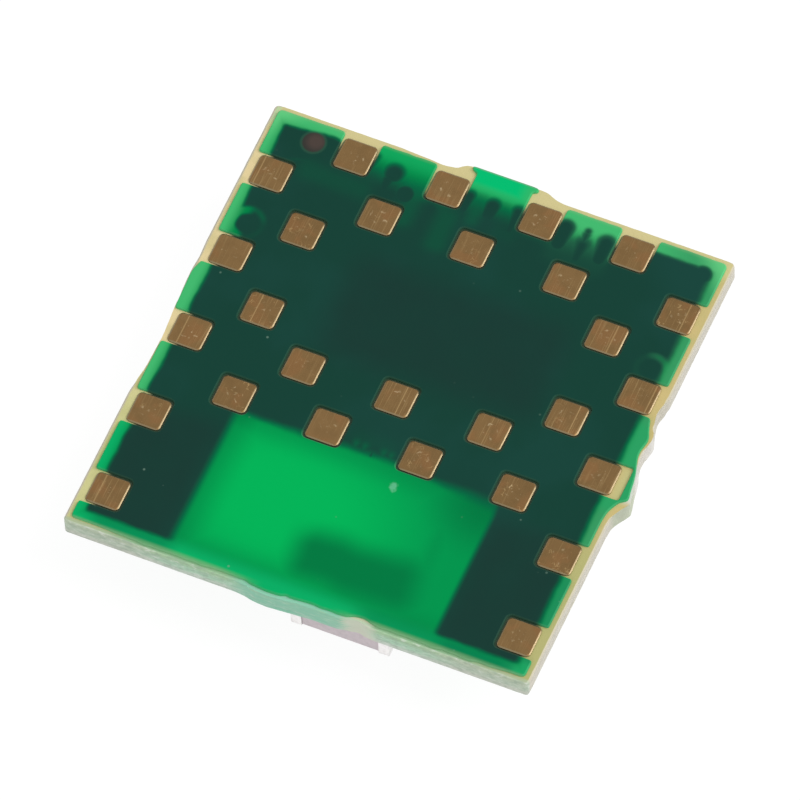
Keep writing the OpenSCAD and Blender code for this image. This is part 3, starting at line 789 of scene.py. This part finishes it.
def copper_sheet(flat, waved):
    """1 on the sheet of ground copper, with its window and its notch left out."""
    across = along(flat, "X")
    waved_across = along(waved, "X")
    waved_up = along(waved, "Y")
    width = step_up(waved_across, -4.22, -4.08) - step_up(waved_across, 4.06, 4.28)
    back = 4.385 - 0.03 * step_up(across, -3.7, -4.1) + 0.05 * between(across, -3.5, -3.1, 0.15)
    length = step_up(waved_up, -4.5, -4.34) - step_up(waved_up - back, -0.08, 0.08)
    bite = 0.85 * round_band(flat, -3.94, 2.16, 0.2, 0.35, 0.05) * step_up(across, -3.86, -4.06)

    # The window at the antenna's end
    window_width = step_up(across, -2.66, -2.36) - step_up(across, 2.46, 2.66)
    far_right = step_up(across, 0.8, 2.2)
    window_up = waved_up - 0.05 * between(across, -0.6, 0.6, 0.2)
    window_top = -1.35 + 0.03 * far_right
    window_foot = -1.66 - 0.14 * far_right - 0.1 * step_up(across, 1.9, 2.5)
    window = window_width * step_up(window_up, window_top, window_foot)
    for x in window_comb:
        window = window | 0.4 * streak(flat, (x, -1.5, 0), (x, -1.32, 0), 0.03, 0.13)

    # The notch at the upper edge
    slope = 0.08 * step_up(across, -1.5, -2.4) + 0.13 * between(across, -0.7, 0.65, 0.2)
    notch = between(across, -2.4, 2.38, 0.06) * step_up(waved_up - slope, 3.64, 4.44)
    return width * length * (1 - bite) * (1 - window) * (1 - notch)


def copper_below(flat, waved):
    """How dark the copper makes the film, from 0 over bare laminate to 1."""
    across = along(flat, "X")
    up = along(flat, "Y")
    left_light = 0.13 + 0.2 * step_up(up, 2.2, 2.42)
    right_light = 0.12 + 0.45 * step_up(up + 0.8 * across, 5.25, 5.6)
    thin = left_light * round_band(flat, -3.95, 2.18, 0.25, 0.36, 0.08)
    thin = thin | right_light * round_band(flat, 3.95, 2.08, 0.2, 0.34, 0.06)
    arch = round_band(flat, -3.32, 2.58, 1.17, 1.25, 0.05) * patch(flat, -3.8, -2.6, 3.4, 4.0, 0.15)
    thin = thin | 0.14 * arch
    for share, *box, soft in thin_places:
        thin = thin | share * patch(waved, *box, soft)
    dark = copper_sheet(flat, waved) * (1 - thin)
    for x, y, reach, radius, soft in copper_fingers:
        dark = dark | streak(flat, (x, y, 0), (x, y - reach, 0), radius, soft)
    return dark


def window_glow(flat):
    """Light that comes up through the window, with the shadow of the antenna on the other side."""
    bright = colour(0, 182, 89)
    window_side = colour(0, 150, 78)
    shadow = colour(0, 123, 66)
    across = along(flat, "X")
    up = along(flat, "Y")
    # A painted pool of light, brightest left of the window's middle
    pool = spot(scaled(flat, (0.55, 0.8, 1)), -0.58, -2.35, 1.2, 0.7)
    raised = 0.08 * between(across, -0.25, 0.5, 0.25)
    askew = flat.node("ShaderNodeCombineXYZ", inputs={
        "X": across + 0.1 * up, "Y": up - 0.07 * across - raised})
    antenna_shadow = patch(askew, -0.8, 1.52, -4.34, -3.32, 0.33)
    # Painted shade: the antenna's shadow, a band of shadow beside it, a darker upper right corner and darker
    # borders
    dim = (antenna_shadow | 0.3 * patch(flat, 1.74, 1.98, -4.3, -1.6, 0.17)
           | spot(flat, 2.45, -1.55, 0.8, 0.62) | 0.6 * step_up(across, -1.8, -2.55)
           | 0.9 * spot(flat, -2.55, -1.4, 0.5, 0.45)
           | 0.42 * step_up(up, -2.1, -1.5) | 0.42 * step_up(up, -3.9, -4.5))
    return blend(dim, blend(pool, window_side, bright), shadow)


def border_glow(flat):
    """Light that comes up along the board's edges, outside the copper."""
    edge_left = colour(68, 188, 113)
    edge_right = colour(56, 155, 98)
    edge_corner = colour(100, 206, 130)
    edge_low = colour(8, 176, 102)
    edge_low_right = colour(30, 143, 90)
    edge_front_right = colour(6, 148, 87)
    edge_front_corner = colour(30, 164, 99)
    edge_gap = colour(16, 168, 93)
    stub_right = colour(44, 162, 99)
    stub_green = colour(2, 192, 114)
    stub_light = colour(54, 184, 106)
    shade_green = colour(4, 112, 74)
    across = along(flat, "X")
    up = along(flat, "Y")
    edge = blend(step_up(across, 2.6, 4.1), edge_left, edge_right)
    edge = blend(step_up(abs(across) + 0.9 * up, 7.75, 8.5), edge, edge_corner)
    low_edge = blend(step_up(across, 0.5, 3), edge_low, edge_low_right)
    edge = blend(step_up(up, -1.6, -2.7), edge, low_edge)
    edge = blend(step_up(up, -4.2, -4.42) * between(across, 1.2, 4.0, 0.3), edge, edge_front_right)
    edge = blend(patch(flat, 4.1, 4.8, -4.9, -4.34, 0.1), edge, edge_front_corner)
    edge = blend(patch(flat, -2.6, -1.1, 4, 6, 0.15), edge, edge_gap)
    edge = blend(patch(flat, 4.0, 4.9, -0.95, 1.0, 0.15), edge, stub_right)
    stub = blend(step_up(across, 0.25, 0.6) | 0.6 * step_up(up, 4.58, 4.42), stub_green, stub_light)
    edge = blend(patch(flat, -0.66, 0.62, 4.28, 6, 0.12), edge, stub)
    arm_shade = patch(flat, -4.0, -2.45, -4.75, -4.2, 0.22) | patch(flat, 2.7, 4.0, -4.75, -4.2, 0.22)
    return blend(0.55 * arm_shade, edge, shade_green)


def over_copper_look(flat, waved):
    """The film's dark green over copper, greyer where the planes inside the board lie below it."""
    teal = colour(22, 66, 55)
    teal_light = colour(25, 70, 61)
    neutral = colour(26, 59, 52)
    towards_corner = step_up(along(flat, "X") + along(flat, "Y"), 6.6, 7.8)
    lighter = 0.7 * step_up(cloudy(flat, 0.5, 3), 0.45, 0.65) | towards_corner
    inner_planes = (patch(waved, -1.8, 2.4, 0.25, 2.35, 0.4) | patch(waved, -4.2, -2.6, -4.5, -1.9, 0.3)
                    | patch(waved, 2.6, 4.2, -4.5, -1.8, 0.3))
    covered = blend(lighter, teal, teal_light)
    return blend(inner_planes * (0.55 + 0.6 * cloudy(flat, 1.4, 3)), covered, neutral)


def film_look(flat, waved, dark, rim):
    """The film over copper and laminate, with a brown dot in its corner and painted shade round it, painted
    highlights on its rims, and worn borders whose walls are painted lighter.
    """
    half_dark = colour(4, 102, 66)
    half_dark_right = colour(32, 98, 69)
    dot_ring_and_rim_sheen = colour(76, 116, 88)
    dot_brown = colour(78, 67, 62)
    dot_painted_shade = colour(56, 56, 52)
    rim_sheen_green = colour(110, 206, 146)
    stub_rim = colour(112, 176, 134)
    worn_green = colour(152, 184, 134)
    worn_wall_painted_light = colour(160, 200, 150)
    across = along(flat, "X")
    up = along(flat, "Y")
    aside = abs(across)
    outside = (step_up(aside, 4.04, 4.32) | step_up(up, 4.15, 4.55) | step_up(up, -4.25, -4.6)
               | step_up(across, 0.9, 1.3) * step_up(up, 3.8, 4.45))
    glow = blend(outside, window_glow(flat), border_glow(flat))
    half = blend(step_up(across, 0.8, 1.3) * step_up(up, 0.5, 2), half_dark, half_dark_right)
    film = blend(step_up(dark, 0.0, 0.62), glow, half)
    film = blend(step_up(dark, 0.45, 1.0), film, over_copper_look(flat, waved))
    film = blend(0.22 * spot(flat, -3.51, 4.19, 0.245, 0.025), film, dot_ring_and_rim_sheen)
    # The brown dot, with painted shade round its edge that is deepest at its lower left
    dot = blend(spot(flat, -3.47, 4.22, 0.16, 0.09), dot_painted_shade, dot_brown)
    film = blend(spot(flat, -3.51, 4.19, 0.205, 0.025), film, dot)
    # Painted highlight along the film's rounded rims and walls, standing in for the light they catch; the
    # same pale tone rings the dot
    film = blend(0.36 * rim, film, blend(step_up(dark, 0.3, 0.9), rim_sheen_green, dot_ring_and_rim_sheen))
    film = blend(0.8 * step_up(up, 4.78, 4.81), film, stub_rim)
    worn_front = 0.42 * step_up(up, -4.56, -4.645) * step_up(aside, 0.6, 1.6)
    worn_back = 0.35 * step_up(up, 4.54, 4.645) * step_up(aside, 0.7, 0.9)
    # Painted light: along the worn borders the film's walls are made paler, against the shade they stand in
    wall = step_up(rim, 0.3, 0.8)
    worn_thin = (worn_front | worn_back) * (1 + 0.4 * wall)
    return blend(worn_thin, film, blend(wall, worn_green, worn_wall_painted_light))


def green_film():
    material, shader, place = new_finish("green_film", specular_ior_level=0.03, roughness=0.3)
    dust_pale = colour(128, 160, 142)
    residue_pale = colour(104, 192, 146)
    flat = scaled(place, (1, 1, 0))
    rim = place.node("ShaderNodeAttribute", {"attribute_name": "rim"}, output="Fac")
    waved = wavered(flat)
    film = film_look(flat, waved, copper_below(flat, waved), rim)

    # What lies on it: dust, and a fleck of dried flux
    specks = flat.node("ShaderNodeTexVoronoi", {"feature": "F1"}, {"Vector": flat, "Scale": 2.3})
    kinds = along(Field(flat.tree, specks.socket.node.outputs["Color"]), "X")
    dust = (1 - step_up(specks, 0.025, 0.075)) * step_up(kinds, 0.45, 0.9)
    dust = dust * step_up(cloudy(flat, 0.8, 1), 0.38, 0.56)
    film = blend(0.5 * dust, film, dust_pale)
    ragged = flat.node("ShaderNodeTexNoise", inputs={"Vector": flat, "Scale": 13.0}, output="Color")
    ragged = scaled(flat, (0.75, 0.6, 1)).vector("ADD", scaled(ragged, (0.09, 0.09, 0)))
    residue = spot(ragged, 0.56, -1.095, 0.05, 0.025)
    blend(0.8 * residue, film, residue_pale).into(shader, "Base Color")
    (0.3 + 0.3 * residue).into(shader, "Roughness")
    bumped(shader, cloudy(flat, 9, 3), 0.003 * mm)
    return material


pad_side_mask = piece_from("pad_side_solder_mask", mask_mesh(), green_film())
stands_for(pad_side_mask, "solder_mask", "host_solder_mask")


# Copper on the component side
# Lands for the parts, the frame that the can stands on, and the strip that feeds the antenna.
# The lands are plated with gold as the pads are, and the strip is bare copper under the solder mask.

plated_land = dull_copper("plated_land", colour(205, 178, 128), colour(170, 140, 92))
for node in ("part_lands", "can_frame_land", "antenna_lands"):
    finish_node(node, plated_land)
finish_node("antenna_feed_strip", dull_copper("strip_copper", copper_bright, copper_dark))


# Solder mask on the component side
# The same green lacquer, printed on the other face of the board. It is open over the lands of
# the parts, the can's frame and the antenna.

def under_film():
    material, shader, place = new_finish("under_film", specular_ior_level=0.3, roughness=0.32)
    ground = patch(place, -4.16, 4.16, -1.5, 4.4, 0.05)
    glow = blend(cloudy(place, 3, 3), colour(0, 150, 76), colour(20, 168, 92))
    blend(ground, glow, colour(16, 84, 56)).into(shader, "Base Color")
    bumped(shader, cloudy(place, 9, 3), 0.003 * mm)
    return material


finish_node("component_solder_mask", under_film())


# Chip antenna
# A fired ceramic bar with a silvered, tin-plated cap on each end, soldered to its lands by both caps.
# Its front edge shows below the board.

def eased_copy(node, width, segments=2):
    """A copy of a CAD node with its edges rounded."""
    work = cad_copy(node)
    edges = [e for e in work.edges if e.calc_face_angle(0) > math.radians(30)]
    bmesh.ops.bevel(work, geom=edges, offset=width, offset_type="OFFSET", segments=segments, profile=0.5,
                    affect="EDGES", clamp_overlap=True)
    return work


def ceramic(name, light, dark):
    material, shader, place = new_finish(name, roughness=0.6, specular_ior_level=0.35)
    grain = cloudy(place, 11, 4)
    blend(step_up(grain, 0.3, 0.75), light, dark).into(shader, "Base Color")
    bumped(shader, grain, 0.006 * mm)
    return material


def bright_tin(name, light, dark):
    material, shader, place = new_finish(name, metallic=0.85)
    grain = cloudy(place, 16, 4)
    blend(step_up(grain, 0.3, 0.75), light, dark).into(shader, "Base Color")
    (0.32 + 0.25 * grain).into(shader, "Roughness")
    bumped(shader, grain, 0.004 * mm)
    return material


antenna = piece_from("antenna_ceramic_bar", eased_copy("antenna_body", 0.02 * mm),
                     ceramic("antenna_ceramic", colour(226, 213, 218), colour(214, 201, 206)))
stands_for(antenna, "antenna_ceramic", "antenna_body")
cap_tin = bright_tin("cap_tin", colour(252, 249, 248), colour(240, 236, 236))
antenna_caps = piece_from("antenna_caps", eased_copy("antenna_end_caps", 0.012 * mm), cap_tin)
stands_for(antenna_caps, "tin_plate", "antenna_end_caps")


# Solder
# Reflowed tin alloy under every part, drawn up into a fillet at its ends.
# The radio chip stands on balls of it.

solder_tin = bright_tin("solder_tin", colour(208, 210, 212), colour(160, 162, 166))
solder = piece_from("solder", eased_copy("solder_joints", 0.008 * mm), solder_tin)
stands_for(solder, "solder", "solder_joints")
finish_node("radio_chip_balls", solder_tin)


# Parts under the can
# The radio chip, two crystals in ceramic cases with metal lids, an inductor, capacitors and the
# antenna's matching parts, all soldered by their ends or corners and closed in by the can.

def silicon():
    material, shader, place = new_finish("silicon_back", metallic=0.3, specular_ior_level=0.6)
    grain = cloudy(place, 20, 3)
    blend(grain, colour(34, 34, 38), colour(58, 58, 64)).into(shader, "Base Color")
    (0.25 + 0.2 * grain).into(shader, "Roughness")
    return material


finish_node("radio_chip", silicon())
crystal_case = ceramic("crystal_case", colour(222, 214, 196), colour(202, 194, 174))
crystal_lid = bright_tin("crystal_lid", colour(206, 200, 184), colour(184, 176, 160))
for name in ("main_crystal", "slow_crystal"):
    finish_node(name + "_case", crystal_case)
    finish_node(name + "_lid", crystal_lid)
small_parts = {"power_inductor_body": ((84, 84, 88), (60, 60, 64)),
               "capacitor_bodies": ((176, 140, 104), (146, 112, 80)),
               "matching_bodies": ((92, 100, 134), (70, 76, 106))}
for node, (light, dark) in small_parts.items():
    finish_node(node, ceramic(node + "_ceramic", colour(*light), colour(*dark)))
for node in ("power_inductor_end_caps", "capacitor_end_caps", "matching_end_caps"):
    finish_node(node, cap_tin)


# Shield can
# One piece of tinned steel sheet, blanked with feet along its rims and folded into a shallow box,
# with a slit at each corner. It is soldered to its copper frame by the feet.

def tinned_sheet():
    material, shader, place = new_finish("tinned_sheet", metallic=1.0)
    rolled = cloudy(scaled(place, (34, 1.2, 1.2)), 1, 3)
    spread = cloudy(place, 1.1, 4)
    base = blend(step_up(spread, 0.3, 0.75), colour(203, 204, 205), colour(194, 195, 197))
    blend(0.3 * step_up(rolled, 0.55, 0.8), base, colour(164, 165, 168)).into(shader, "Base Color")
    (0.25 + 0.12 * spread + 0.1 * rolled).into(shader, "Roughness")
    bumped(shader, rolled, 0.002 * mm)
    return material


can = piece_from("shield_can_sheet", eased_copy("shield_can", 0.018 * mm), tinned_sheet())
stands_for(can, "can_sheet", "shield_can")


# Floor, light and camera
# A white table under soft boxes, seen from above the antenna's right corner through a long lens.
# The table shows white to the camera and still takes the part's shadow.

floor_half = 0.6
floor_glow = 0.86
world_light = 0.55
lens_mm = 741.36
camera_place = Vector((68.052, -138.397, 250.349)) * mm
camera_look = Vector((-0.23248, 0.47265, -0.85003))
camera_up = Vector((-0.32292, 0.78689, 0.52586))
# Soft boxes: where each stands round the part, its width in metres and its power in watts
soft_boxes = {"key": ((0.2, 0.06, 0.26), 0.2, 0.42), "rim": ((0.225, 0.15, 0.165), 0.085, 0.2),
              "fill": ((-0.08, -0.3, 0.16), 0.2, 0.14)}


def seen_directly(tree):
    """1 for rays from the camera, off a gloss or through glass, and 0 for the light that falls on things."""
    kinds = ("Is Camera Ray", "Is Glossy Ray", "Is Transmission Ray")
    camera_ray, glossy_ray, clear_ray = (tree.node("ShaderNodeLightPath", output=kind) for kind in kinds)
    return camera_ray | glossy_ray | clear_ray


def table_white():
    material = bpy.data.materials.new("table_white")
    material.use_nodes = True
    tree = material.node_tree
    tree.nodes.clear()
    make = Field(tree).node
    lit = make("ShaderNodeBsdfDiffuse", inputs={"Color": (0.85, 0.85, 0.85, 1)})
    white = make("ShaderNodeEmission", inputs={"Color": (1, 1, 1, 1), "Strength": 1.08})
    top = make("ShaderNodeMixShader", inputs={0: floor_glow * seen_directly(Field(tree)), 1: lit, 2: white})
    tree.links.new(top.socket, tree.nodes.new("ShaderNodeOutputMaterial").inputs["Surface"])
    return material


floor_mesh = bpy.data.meshes.new("table")
floor_signs = ((-1, -1), (1, -1), (1, 1), (-1, 1))
floor_corners = [(x * floor_half, y * floor_half, 0) for x, y in floor_signs]
floor_mesh.from_pydata(floor_corners, [], [(0, 1, 2, 3)])
floor_mesh.materials.append(table_white())
table = bpy.data.objects.new("table", floor_mesh)
bpy.context.scene.collection.objects.link(table)

world = bpy.data.worlds.new("studio")
bpy.context.scene.world = world
world.use_nodes = True
backdrop = world.node_tree.nodes["Background"]
backdrop.inputs["Color"].default_value = (1, 1, 1, 1)
seen = seen_directly(Field(world.node_tree))
(world_light + (1 - world_light) * seen).into(backdrop, "Strength")

for name, (stand, width, power) in soft_boxes.items():
    lamp = bpy.data.lights.new(name, "AREA")
    lamp.shape = "SQUARE"
    lamp.size = width
    lamp.energy = power
    soft_box = bpy.data.objects.new(name, lamp)
    soft_box.location = stand
    soft_box.rotation_euler = (-Vector(stand)).to_track_quat("-Z", "Y").to_euler()
    bpy.context.scene.collection.objects.link(soft_box)

camera = bpy.data.cameras.new("camera")
camera.lens = lens_mm
camera.sensor_width = 36
camera.clip_start = 0.01
camera.clip_end = 5
view = bpy.data.objects.new("camera", camera)
right = camera_look.cross(camera_up).normalized()
turn = Matrix((right, right.cross(camera_look), -camera_look)).transposed().to_4x4()
view.matrix_world = Matrix.Translation(camera_place) @ turn
bpy.context.scene.collection.objects.link(view)
bpy.context.scene.camera = view
bpy.context.scene.view_settings.view_transform = "Standard"
